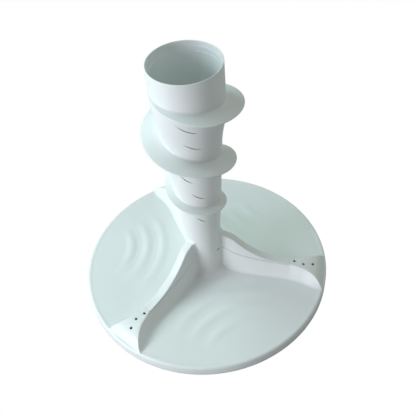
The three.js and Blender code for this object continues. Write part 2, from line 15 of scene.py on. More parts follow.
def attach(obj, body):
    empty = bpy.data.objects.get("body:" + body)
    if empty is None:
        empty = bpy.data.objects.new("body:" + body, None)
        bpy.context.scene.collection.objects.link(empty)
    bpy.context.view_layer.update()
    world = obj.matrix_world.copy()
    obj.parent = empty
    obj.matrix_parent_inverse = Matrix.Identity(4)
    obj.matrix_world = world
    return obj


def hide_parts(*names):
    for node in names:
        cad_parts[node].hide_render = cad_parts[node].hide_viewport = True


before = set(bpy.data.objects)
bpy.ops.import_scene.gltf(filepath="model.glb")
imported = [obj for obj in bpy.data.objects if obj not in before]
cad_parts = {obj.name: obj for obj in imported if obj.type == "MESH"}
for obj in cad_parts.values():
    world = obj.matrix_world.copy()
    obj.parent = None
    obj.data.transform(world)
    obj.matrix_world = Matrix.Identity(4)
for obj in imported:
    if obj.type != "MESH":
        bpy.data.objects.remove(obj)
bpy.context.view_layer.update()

# ---- driving dimensions in millimetres and degrees, the same as the CAD part's ----

MM = 0.001
GAP = 0.3
SUNK = 1.2                  # how far a piece on a wall reaches into it
SMALL_EDGE = 0.4            # edge break of ribs, bosses and the plate's hub

PLATE_RADIUS = 225.0
PLATE_TOP = 20.6
PLATE_RIM_TOP = 20.9
PLATE_WALL = 3.0
PLATE_MIDDLE = PLATE_TOP - PLATE_WALL / 2
RIM_WALL = 2.4
RIM_ROUND = 4.5
HUB_HOLE_RADIUS = 30.0
STIFFENER_BOTTOM = 3.0
STIFFENER_WALL = 1.8
STIFFENER_OFFSETS = (-28, 0, 28)
HOOP_WALL = 2.2
HOOP_RADII = (HUB_HOLE_RADIUS, 92, 158)

VANE_AZIMUTHS = (-15.3, 104.7, 224.7)
SECTOR_AZIMUTHS = (44.7, 164.7, 284.7)
VANE_CAP_END = 157.0
VANE_WALL = 2.6
FOOT_HOLES = ((165.9, 2.0), (182.4, -2.0), (199.5, 2.0))
FOOT_HOLE_RADIUS = 2.5
SCREW_STATIONS = (60.0, 88.0)
SCREW_HOLE_RADIUS = 2.2
BOSS_RADIUS = 5.5
BOSS_DEPTH = 9.0

COLUMN_WAIST = 32.4
COLUMN_LIFT = 0.05          # the column's flare starts this far above the plate
BASE_FLARE = 17.0
SHOULDER_Z = 188.0
SHOULDER_ROUND = 0.8
NECK_RADIUS = 33.2
NECK_TOP = 300.0
NECK_EDGE = 0.6
BORE_RADIUS = 29.4
SPIGOT_RADIUS = 29.6
SPIGOT_BOTTOM = 4.0
SPIGOT_EDGE = 0.5
CORE_BOTTOM = 246.0
RELIEF_INNER = 25.6
RELIEF_OUTER = 30.2
RELIEF_TOP = 289.6
POCKET_CIRCUMRADIUS = 23.3
POCKET_TOP = 291.9
BOLT_HOLE_RADIUS = 4.5
SEAT_TEETH = 12
SEAT_INNER = 12.5
SEAT_OUTER = 14.0
SEAT_TOP = 313.5
DRAIN_Z = 78.0
DRAIN_OFFSET = 33.0
DRAIN_RADIUS = 2.6

AUGER_BOTTOM = 188.4
AUGER_TOP = 462.0
AUGER_WALL = 2.6
CUP_RADIUS = 55.2
CUP_EDGE_ROUND = 0.8
CUP_STEPS = ((53.6, 454.0), (52.8, 445.8))
CAP_LEDGE_Z = 339.0
CAP_LEDGE_RADIUS = 42.5
CAP_LEDGE_WALL = 3.0
WEB_TOP = 301.0
WEB_BOTTOM = 297.5
GUIDE_TOP = 194.0
RECESS_TOP = 191.0
RECESS_RADIUS = 36.5
TOOTH_COUNT = 16
TOOTH_TIP_RADIUS = 37.5
TOOTH_DEPTH = 3.2
TOOTH_TOP = 325.0
FIN_START = 187.0
FIN_END = 1100.0
FIN_SLOPE = 0.16
FIN_ROOT = 4.2
FIN_EDGE = 2.4

# Slots are (azimuth, height) of their middles.
SLOTS = ((262, 383), (268, 347), (357, 313), (246, 274), (268, 235))
COLUMN_SLOT = (268, 175.5)
SLOT_SPREAD = 16.0
COLUMN_SLOT_SPREAD = 12.0
SLOT_FALL = 0.47
SLOT_CURVE = 0.012
SLOT_HEIGHT = 1.5
SLOT_DEPTH = 4.0
LIP_RISE = 0.9
LIP_HEIGHT = 6.0


# ---- curves ----

def curve_through(*points):
    """Smooth curve y(x) through a few points, without overshoot between them."""
    xs, ys = np.array(points, float).T
    steps = np.diff(ys) / np.diff(xs)
    products = steps[:-1] * steps[1:]
    sums = np.where(products > 0, steps[:-1] + steps[1:], 1.0)
    inner = np.where(products > 0, 2 * products / sums, 0.0)
    slopes = np.concatenate([steps[:1], inner, steps[-1:]])

    def value(x):
        x = np.clip(x, xs[0], xs[-1])
        i = np.clip(np.searchsorted(xs, x, side="right") - 1, 0, len(xs) - 2)
        width = xs[i + 1] - xs[i]
        t = (x - xs[i]) / width
        rise = (ys[i + 1] - ys[i]) * t * t * (3 - 2 * t)
        bend = t * (1 - t) * width * ((1 - t) * slopes[i] - t * slopes[i + 1])
        return ys[i] + rise + bend

    return value


# The barrel and the column are given over height, the fin over its angle, and the vanes over the
# distance from the axis.
barrel_radius = curve_through(
    (AUGER_BOTTOM, 37.7), (240, 40.4), (308, 44.4), (340, 48.1), (365, 53), (388, CUP_RADIUS))
fin_root_z = curve_through(
    (FIN_START, 427), (270, 414.5), (340, 400), (620, 320.5), (931, 224), (992, 210),
    (1042, 201), (FIN_END, 194))
fin_radius = curve_through(
    (FIN_START, 56.5), (246, 68.5), (275, 77.5), (300, 81.5), (350, 81.8), (543, 77.8),
    (655, 73.5), (720, 66), (903, 54), (985, 54), (1060, 48.5), (FIN_END, 40))
ridge_z = curve_through(
    (30, 110), (42, 106), (54, 100), (67, 86.5), (85, 70), (105, 57.5), (125, 49.5),
    (157, 44.5), (182, 42.9), (196, 40.8), (206, 37.2), (213, 31.2), (219.5, PLATE_TOP))
parting_z = curve_through(
    (30, 80), (38, 76), (64, 62.5), (85, 55.5), (106, 50.5), (125, 46.3), (VANE_CAP_END, 42.5))
ridge_half_width = curve_through(
    (30, 7), (157, 7.3), (172, 10.5), (182, 13), (192, 17), (206, 25.5), (213, 31.5), (219.5, 38))
foot_half_width = curve_through(
    (30, 10), (48, 13), (62, 16.5), (77, 19), (109, 21), (152, 22.5), (180, 27.5), (207, 37.5),
    (219.5, 39.5))
column_radius = curve_through(
    (50, COLUMN_WAIST), (112, COLUMN_WAIST + 0.1), (157, 34.6), (SHOULDER_Z, 36.2))
hub_fillet = curve_through((25, 5), (60, 6), (105, 9.5))


def quarter(radius, distance):
    """Height of a concave quarter round of that radius, at a distance from the wall it meets."""
    reach = np.clip(radius - distance, 0, radius)
    return radius - np.sqrt(np.maximum(radius * radius - reach * reach, 0))


def smoothstep(low, high, x):
    """0 up to low, 1 from high on, and a smooth rise between them."""
    t = np.clip((x - low) / (high - low), 0, 1)
    return t * t * (3 - 2 * t)


def vane_half_width(s, z):
    """Half thickness of a vane at a distance from the axis and a height."""
    height = max(float(ridge_z(s)) - PLATE_TOP, 1)
    depth = np.clip((ridge_z(s) - z) / height, 0, 1)
    flare = 0.6 * depth + 0.4 * depth * depth
    return ridge_half_width(s) + (foot_half_width(s) - ridge_half_width(s)) * flare


def column_wall(z):
    """Outer radius of the column, with the round flare it stands on."""
    return column_radius(z) + quarter(BASE_FLARE, z - PLATE_TOP - COLUMN_LIFT)


# ---- meshes ----

def arc(centre, radius, start, end, count):
    """Points on a circle in a section, angles in degrees."""
    angles = np.radians(np.linspace(start, end, count))
    return [(centre[0] + radius * math.cos(a), centre[1] + radius * math.sin(a)) for a in angles]


def lattice(rows, close_rows=False):
    """Closed skin over rows of points, each row a loop. The ends are capped, or joined."""
    rows = np.asarray(rows, float)
    count, width = rows.shape[:2]
    faces = []
    for i in range(count if close_rows else count - 1):
        a, b = i * width, (i + 1) % count * width
        faces += [(a + k, a + (k + 1) % width, b + (k + 1) % width, b + k) for k in range(width)]
    if not close_rows:
        faces.append(tuple(reversed(range(width))))
        faces.append(tuple(range((count - 1) * width, count * width)))
    return rows.reshape(-1, 3), faces


def turned(outline, segments):
    """Skin of a closed section of (radius, z) points turned round the axis."""
    section = np.asarray(outline, float)
    angles = np.linspace(0, 2 * math.pi, segments, endpoint=False)
    rows = [np.column_stack([section[:, 0] * math.cos(a), section[:, 0] * math.sin(a), section[:, 1]])
            for a in angles]
    return lattice(rows, close_rows=True)


def rod(radius, bottom, top, x=0.0, y=0.0, segments=24):
    """Upright cylinder."""
    angles = np.linspace(0, 2 * math.pi, segments, endpoint=False)
    return lattice([[(x + radius * math.cos(a), y + radius * math.sin(a), z) for a in angles]
                    for z in (bottom, top)])


def joined(*skins):
    """One list of points and faces from several skins."""
    points, faces, offset = [], [], 0
    for skin_points, skin_faces in skins:
        points.append(skin_points)
        faces += [tuple(offset + k for k in face) for face in skin_faces]
        offset += len(skin_points)
    return np.concatenate(points), faces


def rotated(skin, azimuth):
    """The skin turned round the axis."""
    points, faces = skin
    turn = np.array(Matrix.Rotation(math.radians(azimuth), 3, "Z"))
    return points @ turn.T, faces


def shell_object(name, skin):
    """Mesh object in metres from a skin in millimetres, faces pointing out."""
    points, faces = skin
    mesh = bpy.data.meshes.new(name)
    mesh.from_pydata((np.asarray(points) * MM).tolist(), [], faces)
    mesh.validate()
    piece = bpy.data.objects.new(name, mesh)
    bpy.context.scene.collection.objects.link(piece)
    outward(mesh)
    return piece


def outward(mesh):
    """Turns every shell of a mesh inside in or out so that its normals point out."""
    work = bmesh.new()
    work.from_mesh(mesh)
    bmesh.ops.remove_doubles(work, verts=work.verts, dist=1e-7)
    bmesh.ops.recalc_face_normals(work, faces=work.faces)
    work.to_mesh(mesh)
    work.free()


def carve(piece, *skins):
    """Cuts the skins out of a piece and keeps the result as its mesh."""
    cutters = [shell_object(f"cutter_{i}", skin) for i, skin in enumerate(skins)]
    for cutter in cutters:
        modifier = piece.modifiers.new("cut", "BOOLEAN")
        modifier.operation = "DIFFERENCE"
        modifier.solver = "EXACT"
        modifier.object = cutter
    bpy.context.view_layer.update()
    evaluated = piece.evaluated_get(bpy.context.evaluated_depsgraph_get())
    result = bpy.data.meshes.new_from_object(evaluated)
    piece.modifiers.clear()
    piece.data = result
    for cutter in cutters:
        bpy.data.objects.remove(cutter)


SHARP_ANGLE = 32.0


def dress(piece, body, slot, stands_for=None):
    """Smooth shading, the material looked up by slot, and the body of a piece; hides the CAD node it stands
    for.
    """
    piece.data.shade_smooth()
    piece.data.set_sharp_from_angle(angle=math.radians(SHARP_ANGLE))
    piece.data.materials.clear()
    piece.data.materials.append(LOOKS[slot])
    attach(piece, body)
    if stands_for:
        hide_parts(stands_for)


# ---- vanes ----

EDGE_ROUND = 1.7
UNDER_CAP_ROUND = 1.0
FOOT_ROUND = 2.6
FOOT_CROWDING = 1.6         # crowds the levels of a side towards its round foot
PARTING_GROOVE = 0.7        # height and depth of the groove along a vane cap's lower edge
PARTING_DEPTH = 1.5
HUB_TOP_FILLET = 4.0
HUB_REACH = (55, 85)
SIDE_LEVELS = 18


def at_hub(station, z, width):
    """Place (s, t) on a vane's side, swept round into the column where the station is near it."""
    wall = float(column_wall(z))
    radius = float(hub_fillet(z))
    centre_s = math.sqrt(max((wall + radius) ** 2 - (width + radius) ** 2, 1))
    reach = math.hypot(centre_s, width)
    r = max(station, wall)
    if r >= reach:
        s = math.sqrt(max(station * station - width * width, 0))
        blend = float(smoothstep(*HUB_REACH, station))
        return s + (station - s) * blend, width
    far = wall + radius
    bearing = math.atan2(width + radius, centre_s)
    cosine = (r * r + far * far - radius * radius) / (2 * r * far)
    angle = bearing - math.acos(min(1.0, cosine))
    return station * math.cos(angle), station * math.sin(angle)


def half_section(station, bottom, top, on_plate):
    """Points (s, t, z) of one side of a vane section, from its bottom edge to the middle of its top."""
    under_cap = on_plate and station < VANE_CAP_END
    edge = UNDER_CAP_ROUND if under_cap else min(EDGE_ROUND, (top - bottom) / 2.5)
    start = PLATE_TOP if on_plate else bottom + PARTING_GROOVE
    crowding = FOOT_CROWDING if on_plate else 1.0
    levels = start + (top - edge - start) * np.linspace(0, 1, SIDE_LEVELS) ** crowding
    rise = [math.sin(math.radians(a)) for a in range(18, 91, 18)]
    levels = [*levels, *[top - edge + edge * k for k in rise]]
    points = []
    for z in levels:
        width = float(vane_half_width(station, z))
        above = max((z - (top - edge)) / edge, 0.0)
        width -= edge * (1 - math.sqrt(max(1 - above * above, 0)))
        if on_plate:
            width += float(quarter(FOOT_ROUND, z - PLATE_TOP))
        s, t = at_hub(station, z, width)
        points.append((s, t, z))
    s, t, _ = points[0]
    if on_plate:
        points.insert(0, (s, t, PLATE_MIDDLE))
    else:
        points[:0] = [(s, t - PARTING_DEPTH, bottom), (s, t - PARTING_DEPTH, start - 0.05)]
    s, t, z = points[-1]
    points += [(s + (station - s) * (1 - k * k), t * k, z) for k in (0.66, 0.33, 0.0)]
    lift = float(quarter(HUB_TOP_FILLET, station - column_wall(top))) if not on_plate else 0.0
    return [(s, t, z + lift * float(smoothstep(top - 2 * HUB_TOP_FILLET, top, z))) for s, t, z in points]


def vane_section(station, bottom, top, on_plate):
    """Closed loop of points round a vane at one distance from the axis."""
    side = half_section(station, bottom, top, on_plate)
    mirror = [(s, -t, z) for s, t, z in reversed(side[:-1])]
    return side + mirror


HUB_STATIONS = [30.2, 31.4, *np.arange(32.4, 48, 0.8), *np.arange(48, 70, 2.0)]
MID_STATIONS = [*np.arange(70, 150, 4.0), 150, 154]


def vane_cap():
    """Upper half of a vane, above its parting line."""
    stations = [*HUB_STATIONS, *MID_STATIONS, VANE_CAP_END - GAP]
    sections = [vane_section(s, float(parting_z(s)) + GAP / 2, float(ridge_z(s)), False) for s in stations]
    return lattice(sections)


def vane_rib():
    """Lower half of a vane and the pad it runs out into at the rim."""
    low = [*HUB_STATIONS, *MID_STATIONS, VANE_CAP_END - 0.05]
    pad = [VANE_CAP_END, *np.arange(159, 205, 2.0), *np.arange(205, 219, 1.0), 219.2]
    sections = [vane_section(s, PLATE_MIDDLE, float(parting_z(s)) - GAP / 2, True) for s in low]
    sections += [vane_section(s, PLATE_MIDDLE, max(float(ridge_z(s)), PLATE_TOP + 0.4), True) for s in pad]
    return lattice(sections)


def vane_cavity():
    """Hollow under a vane, open below."""
    low = [38, 46, 54, 64, 74, 86, 100, 116, 134, 150, VANE_CAP_END]
    pad = [VANE_CAP_END + 0.1, 172, 184, 195, 203, 209]
    rows = []
    for s in (*low, *pad):
        roof = float(parting_z(s)) - GAP / 2 if s <= VANE_CAP_END else float(ridge_z(s))
        levels = np.linspace(PLATE_TOP, roof - VANE_WALL, 7)
        side = [(s, float(vane_half_width(s, z)) - VANE_WALL, z) for z in levels]
        side.insert(0, (s, side[0][1], -1.0))
        rows.append(side + [(x, -t, z) for x, t, z in reversed(side)])
    return lattice(rows)


def screw_boss(station):
    """Tube under a vane's roof that a screw goes up through."""
    top = float(parting_z(station)) - GAP / 2 - 1
    bottom = float(parting_z(station)) - BOSS_DEPTH
    outline = [(SCREW_HOLE_RADIUS, bottom), (BOSS_RADIUS - SMALL_EDGE, bottom),
               (BOSS_RADIUS, bottom + SMALL_EDGE), (BOSS_RADIUS, top), (SCREW_HOLE_RADIUS, top)]
    points, faces = turned(outline, 32)
    return points + np.array([station, 0, 0]), faces


def foot_hole(s, t):
    """Cutter for a hole right through a vane's pad."""
    return rod(FOOT_HOLE_RADIUS, -2, 60, s, t)


def build_vanes():
    """Lower half, screw bosses and cap of each vane."""
    for index, azimuth in enumerate(VANE_AZIMUTHS, start=1):
        rib = shell_object(f"vane_rib_{index}", rotated(vane_rib(), azimuth))
        holes = [rotated(foot_hole(*place), azimuth) for place in FOOT_HOLES]
        carve(rib, rotated(vane_cavity(), azimuth), *holes)
        dress(rib, "base", "plate_plastic")
        bosses = joined(*[rotated(screw_boss(s), azimuth) for s in SCREW_STATIONS])
        dress(shell_object(f"screw_bosses_{index}", bosses), "base", "plate_plastic")
        cap = shell_object(f"vane_cap_{index}", rotated(vane_cap(), azimuth))
        dress(cap, "base", "white_plastic")


# ---- wash plate ----

PLATE_SEGMENTS = 480
RIPPLE_RADII = (76.0, 107.0, 138.0)
RIPPLE_REACH = 13.0
RIPPLE_HEIGHT = 1.6
RIPPLE_SPREAD = 46.0
RIPPLE_LEAN = -5.0


def ripple_height(x, y):
    """Height of the shallow arcs moulded into the plate, each about the rim point of its sector."""
    height = np.zeros_like(x)
    for azimuth in SECTOR_AZIMUTHS:
        a = math.radians(azimuth)
        along = PLATE_RADIUS - (x * math.cos(a) + y * math.sin(a))
        aside = -x * math.sin(a) + y * math.cos(a)
        distance = np.hypot(along, aside)
        spread = np.abs(np.degrees(np.arctan2(aside, along)) - RIPPLE_LEAN)
        fade = np.cos(np.radians(90 * np.clip(spread / RIPPLE_SPREAD, 0, 1)))
        for radius in RIPPLE_RADII:
            off = np.clip(np.abs(distance - radius) / RIPPLE_REACH, 0, 1)
            height += RIPPLE_HEIGHT * fade * (0.5 + 0.5 * np.cos(math.pi * off))
    return height


def plate_outline():
    """Closed section of the plate, its top sampled finely for the ripples."""
    swell = (PLATE_RADIUS - 2 * RIM_ROUND, PLATE_RADIUS - RIM_ROUND)
    top = [(r, PLATE_TOP) for r in np.arange(48, swell[0], 1.8)]
    top += [(r, PLATE_TOP + (PLATE_RIM_TOP - PLATE_TOP) * float(smoothstep(*swell, r)))
            for r in np.linspace(*swell, 6)[:-1]]
    rim = arc((PLATE_RADIUS - RIM_ROUND, PLATE_RIM_TOP - RIM_ROUND), RIM_ROUND, 90, 0, 12)
    skirt = [(PLATE_RADIUS, z) for z in (12, 6, 1.0)]
    inside = PLATE_RADIUS - RIM_WALL
    foot = [(PLATE_RADIUS - 0.3, 0.3), (PLATE_RADIUS - 0.8, 0.0), (inside + 0.5, 0.0), (inside, 0.5)]
    under = PLATE_TOP - PLATE_WALL
    inner = [(inside, under - 1.5), (inside - 1.5, under), (150, under), (90, under),
             (HUB_HOLE_RADIUS + 0.5, under), (HUB_HOLE_RADIUS, under + 0.5)]
    hub = [(HUB_HOLE_RADIUS, PLATE_TOP - SMALL_EDGE), (HUB_HOLE_RADIUS + SMALL_EDGE, PLATE_TOP)]
    return hub + top + rim + skirt + foot + inner


def plate_disc():
    """The plate with its ripples, which fade out before the rim."""
    points, faces = turned(plate_outline(), PLATE_SEGMENTS)
    radius = np.hypot(points[:, 0], points[:, 1])
    on_top = (np.abs(points[:, 2] - PLATE_TOP) < 1e-6) & (radius > 45)
    lift = ripple_height(points[:, 0], points[:, 1]) * (1 - smoothstep(205, 215, radius))
    points[:, 2] += np.where(on_top, lift, 0)
    return points, faces


def stiffener(azimuth):
    """Straight rib under the plate, from the hub to the rim."""
    near, far = HUB_HOLE_RADIUS + 1, PLATE_RADIUS - 1.5
    bottom, top, half = STIFFENER_BOTTOM, PLATE_MIDDLE, STIFFENER_WALL / 2
    section = [(-half, bottom + SMALL_EDGE), (-half + SMALL_EDGE, bottom), (half - SMALL_EDGE, bottom),
               (half, bottom + SMALL_EDGE), (half, top), (-half, top)]
    return rotated(lattice([[(x, t, z) for t, z in section] for x in (near, far)]), azimuth)


def hoop(radius):
    """Round rib under the plate."""
    bottom, top, outer = STIFFENER_BOTTOM, PLATE_MIDDLE, radius + HOOP_WALL
    outline = [(radius, bottom + SMALL_EDGE), (radius + SMALL_EDGE, bottom), (outer - SMALL_EDGE, bottom),
               (outer, bottom + SMALL_EDGE), (outer, top), (radius, top)]
    return turned(outline, 144)


def build_plate():
    """The plate, cut open under the vanes, and its ribs."""
    cavities = [rotated(vane_cavity(), azimuth) for azimuth in VANE_AZIMUTHS]
    disc = shell_object("plate_disc", plate_disc())
    carve(disc, *cavities)
    dress(disc, "base", "plate_plastic", stands_for="wash_plate")
    spokes = [stiffener(middle + offset) for middle in SECTOR_AZIMUTHS for offset in STIFFENER_OFFSETS]
    dress(shell_object("plate_stiffeners", joined(*spokes)), "base", "plate_plastic")
    hoops = shell_object("plate_hoops", joined(*[hoop(radius) for radius in HOOP_RADII]))
    carve(hoops, *cavities)
    dress(hoops, "base", "plate_plastic")


# ---- column ----

def column_outline():
    """Closed section of the base: column, neck, solid core with its relief groove, and spigot."""
    flare_z = PLATE_TOP + COLUMN_LIFT + BASE_FLARE * (1 - np.cos(np.radians(np.linspace(4, 90, 18))))
    wall = [(float(column_wall(z)), z) for z in [*flare_z, *np.arange(46, SHOULDER_Z - 1, 6)]]
    centre = (float(column_radius(SHOULDER_Z)) - SHOULDER_ROUND, SHOULDER_Z - SHOULDER_ROUND)
    shoulder = arc(centre, SHOULDER_ROUND, 0, 90, 5)
    neck = [(NECK_RADIUS, SHOULDER_Z), (NECK_RADIUS, 240), (NECK_RADIUS, NECK_TOP - NECK_EDGE),
            (NECK_RADIUS - NECK_EDGE, NECK_TOP)]
    core = [(BOLT_HOLE_RADIUS, NECK_TOP), (BOLT_HOLE_RADIUS, CORE_BOTTOM), (RELIEF_INNER, CORE_BOTTOM),
            (RELIEF_INNER, RELIEF_TOP), (RELIEF_OUTER, RELIEF_TOP), (RELIEF_OUTER, CORE_BOTTOM - 1),
            (BORE_RADIUS, CORE_BOTTOM - 1)]
    inside = SPIGOT_RADIUS - PLATE_WALL
    spigot = [(BORE_RADIUS, 30), (inside, 24), (inside, SPIGOT_BOTTOM + SPIGOT_EDGE),
              (inside + SPIGOT_EDGE, SPIGOT_BOTTOM), (SPIGOT_RADIUS - SPIGOT_EDGE, SPIGOT_BOTTOM),
              (SPIGOT_RADIUS, SPIGOT_BOTTOM + SPIGOT_EDGE), (SPIGOT_RADIUS, PLATE_TOP + 0.03)]
    return wall + shoulder + neck + core + spigot


def hex_pocket():
    """Cutter for the six-sided pocket that the drive block fills."""
    return rod(POCKET_CIRCUMRADIUS, CORE_BOTTOM - 2, POCKET_TOP, segments=6)


def drain_hole(azimuth):
    """Short level cutter through the column wall."""
    circle = arc((0, DRAIN_Z), DRAIN_RADIUS, 0, 342, 20)
    ends = (COLUMN_WAIST - 8, COLUMN_WAIST + 6)
    return rotated(lattice([[(x, y, z) for y, z in circle] for x in ends]), azimuth)


def spline_seat():
    """Toothed boss on top of the neck that the clutch cam slides over."""
    star, hole = [], []
    for i in range(SEAT_TEETH * 4):
        angle = 2 * math.pi * (i + 0.5) / (SEAT_TEETH * 4)
        radius = SEAT_OUTER if i % 4 < 2 else SEAT_INNER
        star.append((radius * math.cos(angle), radius * math.sin(angle)))
        hole.append((BOLT_HOLE_RADIUS * math.cos(angle), BOLT_HOLE_RADIUS * math.sin(angle)))
    bottom, top = NECK_TOP - 1, SEAT_TOP
    loops = ((star, bottom), (star, top), (hole, top), (hole, bottom))
    return lattice([[(x, y, z) for x, y in loop] for loop, z in loops], close_rows=True)


BAND_STEPS = 25
BAND_FADE = 89.0            # just under 90, so that the ends don't close to a point
THIN = 0.05                 # least thickness of a lip or a slot, at its ends
LIP_EDGE = 0.35
LIP_HOLLOW = 1.6            # how hollow the slope under a lip's edge is


def slanted_band(azimuth, height, wall_radius, spread, section):
    """Band that slants down round a wall; section gives its (outward, upward) points for a fullness
    that is 1 in the middle and fades to 0 at both ends."""
    rows = []
    for offset in np.linspace(-spread, spread, BAND_STEPS):
        row = []
        angle = math.radians(azimuth + offset)
        fullness = math.cos(math.radians(BAND_FADE * offset / spread))
        for outward, upward in section(fullness):
            z = height - SLOT_FALL * offset + SLOT_CURVE * offset * offset + upward
            r = float(wall_radius(z)) + outward
            row.append((r * math.cos(angle), r * math.sin(angle), z))
        rows.append(row)
    return lattice(rows)


def lip(azimuth, height, wall_radius, spread):
    """Lip under a slot: its upper edge stands proud and it fades into the wall below."""
    def section(fullness):
        rise = THIN + LIP_RISE * fullness
        length = 1 + LIP_HEIGHT * fullness
        edge = LIP_EDGE * fullness
        slope = [(rise * (1 - v) ** LIP_HOLLOW, -edge - (length - edge) * v) for v in np.linspace(0, 1, 9)]
        return [(-SUNK, 0), (rise - edge, 0), (rise - 0.3 * edge, -0.3 * edge), *slope, (-SUNK, -length)]
    return slanted_band(azimuth, height, wall_radius, spread, section)


def slot(azimuth, height, wall_radius, spread):
    """Cutter for a narrow slot above a lip."""
    def section(fullness):
        top = THIN + SLOT_HEIGHT * fullness
        return [(-SLOT_DEPTH, 0), (2, 0), (2, top), (-SLOT_DEPTH, top)]
    return slanted_band(azimuth, height, wall_radius, spread, section)


def build_column():
    """The base's column with everything cut into it, its spline and the lip of its slot."""
    column = shell_object("column", turned(column_outline(), 144))
    drains = [drain_hole(azimuth + DRAIN_OFFSET) for azimuth in SECTOR_AZIMUTHS]
    carve(column, hex_pocket(), slot(*COLUMN_SLOT, column_radius, COLUMN_SLOT_SPREAD), *drains)
    dress(column, "base", "white_plastic", stands_for="agitator_base")
    dress(shell_object("cam_seat", spline_seat()), "base", "white_plastic")
    raised = shell_object("column_lip", lip(*COLUMN_SLOT, column_radius, COLUMN_SLOT_SPREAD))
    dress(raised, "base", "white_plastic")


# ---- auger ----

def inner_wall(z):
    """Point (radius, z) on the barrel's inner wall."""
    return float(barrel_radius(z)) - AUGER_WALL, z


def cup_step(radius, z):
    """Soft step inwards of the cup's inner wall, going down from that radius."""
    return [(radius + inwards, z + upwards)
            for inwards, upwards in ((0, 1.0), (-0.1, 0.4), (-0.7, -0.4), (-0.8, -1.0))]


def barrel_outline():
    """Closed section of the auger: outer wall, cup, ledge for the inner cap, web, and foot."""
    outer = [(float(barrel_radius(z)), z) for z in [AUGER_BOTTOM + 0.5, *np.arange(192, 388, 4), 388, 420]]
    rim = arc((CUP_RADIUS - CUP_EDGE_ROUND, AUGER_TOP - CUP_EDGE_ROUND), CUP_EDGE_ROUND, 0, 180, 9)
    steps = [point for place in CUP_STEPS for point in cup_step(*place)]
    upper = [inner_wall(z) for z in (420, 388, 380, 372, 364, 356, 349, 343)]
    ledge_bottom = CAP_LEDGE_Z - CAP_LEDGE_WALL
    ledge = [inner_wall(CAP_LEDGE_Z), (CAP_LEDGE_RADIUS, CAP_LEDGE_Z), (CAP_LEDGE_RADIUS, ledge_bottom)]
    middle = [inner_wall(z) for z in (ledge_bottom, 318, WEB_TOP)]
    web = [(NECK_RADIUS + 0.5, WEB_TOP), (NECK_RADIUS + 0.5, WEB_BOTTOM), inner_wall(WEB_BOTTOM)]
    lower = [inner_wall(240), inner_wall(GUIDE_TOP)]
    guide_radius = NECK_RADIUS + 0.7
    foot = [(guide_radius, GUIDE_TOP), (guide_radius, RECESS_TOP), (RECESS_RADIUS, RECESS_TOP),
            (RECESS_RADIUS, AUGER_BOTTOM), (float(barrel_radius(AUGER_BOTTOM)) - 0.4, AUGER_BOTTOM)]
    return outer + rim + steps + upper + ledge + middle + web + lower + foot


FIN_FILLET = 2.2
FIN_STEP = 3.0
FIN_INSET = 1.4             # the fin's faces slope from this far inside the barrel's surface


def fin_section(theta):
    """Fin section (radius, z) with a root fillet above and below and a round outer edge."""
    root, outer = float(fin_root_z(theta)), float(fin_radius(theta))
    inner = float(barrel_radius(root))
    reach = max(outer - inner, 0.4)
    half_edge = min(FIN_EDGE / 2, reach / 2)
    fillet = min(FIN_FILLET, 0.4 * (reach - half_edge) + 0.01)
    drop = FIN_SLOPE * (outer - inner + FIN_INSET)
    along = [*(fillet * (1 - math.cos(math.radians(a))) for a in (0, 22, 45, 67)),
             *np.linspace(fillet, reach - half_edge, 6)]
    upper, lower = [], []
    for d in along:
        share = (d + FIN_INSET) / (reach + FIN_INSET)
        rounding = float(quarter(fillet, d))
        upper.append((d, root - drop * share + rounding))
        lower.append((d, root - FIN_ROOT - (drop + FIN_EDGE - FIN_ROOT) * share - rounding))
    centre_z = (upper[-1][1] + lower[-1][1]) / 2
    half = (upper[-1][1] - lower[-1][1]) / 2
    edge = [(reach - half_edge + half_edge * math.cos(a), centre_z + half * math.sin(a))
            for a in np.radians((65, 40, 15, -15, -40, -65))]
    profile = [(-SUNK, upper[0][1]), *upper, *edge, *reversed(lower), (-SUNK, lower[0][1])]
    return [(float(barrel_radius(z)) + d if d <= fillet else inner + d, z) for d, z in profile]


def fin():
    """The helical fin, from the cup down to where it runs out."""
    rows = []
    for theta in np.arange(FIN_START, FIN_END + 0.1, FIN_STEP):
        angle = math.radians(theta)
        rows.append([(r * math.cos(angle), r * math.sin(angle), z) for r, z in fin_section(theta)])
    return lattice(rows)


# One saw tooth as (share of its pitch, share of its depth).
TOOTH_PROFILE = ((0.0, 0.0), (0.425, 0.5), (0.85, 1.0), (0.999, 0.02))


def ratchet_ring():
    """Saw-toothed ring inside the barrel, between its web and the inner cap's ledge."""
    teeth, wall = [], []
    for i in range(TOOTH_COUNT):
        for share, depth in TOOTH_PROFILE:
            angle = 2 * math.pi * (i + share) / TOOTH_COUNT
            radius = TOOTH_TIP_RADIUS + TOOTH_DEPTH * depth
            teeth.append((radius * math.cos(angle), radius * math.sin(angle)))
            wall.append((math.cos(angle), math.sin(angle)))
    bottom, top = WEB_TOP - 1, TOOTH_TOP
    low_radius, high_radius = (float(barrel_radius(z)) - SUNK for z in (bottom, top))
    return lattice([
        [(x, y, bottom) for x, y in teeth], [(x, y, top) for x, y in teeth],
        [(x * high_radius, y * high_radius, top) for x, y in wall],
        [(x * low_radius, y * low_radius, bottom) for x, y in wall]], close_rows=True)


def build_auger():
    """The auger's barrel with its slots and lips, its fin and its saw teeth."""
    barrel = shell_object("auger_barrel", turned(barrel_outline(), 192))
    carve(barrel, *[slot(*place, barrel_radius, SLOT_SPREAD) for place in SLOTS])
    dress(barrel, "auger", "white_plastic", stands_for="auger")
    dress(shell_object("auger_fin", fin()), "auger", "white_plastic")
    lips = shell_object("auger_lips", joined(*[lip(*place, barrel_radius, SLOT_SPREAD) for place in SLOTS]))
    dress(lips, "auger", "white_plastic")
    dress(shell_object("ratchet_ring", ratchet_ring()), "auger", "white_plastic")


# ---- materials ----

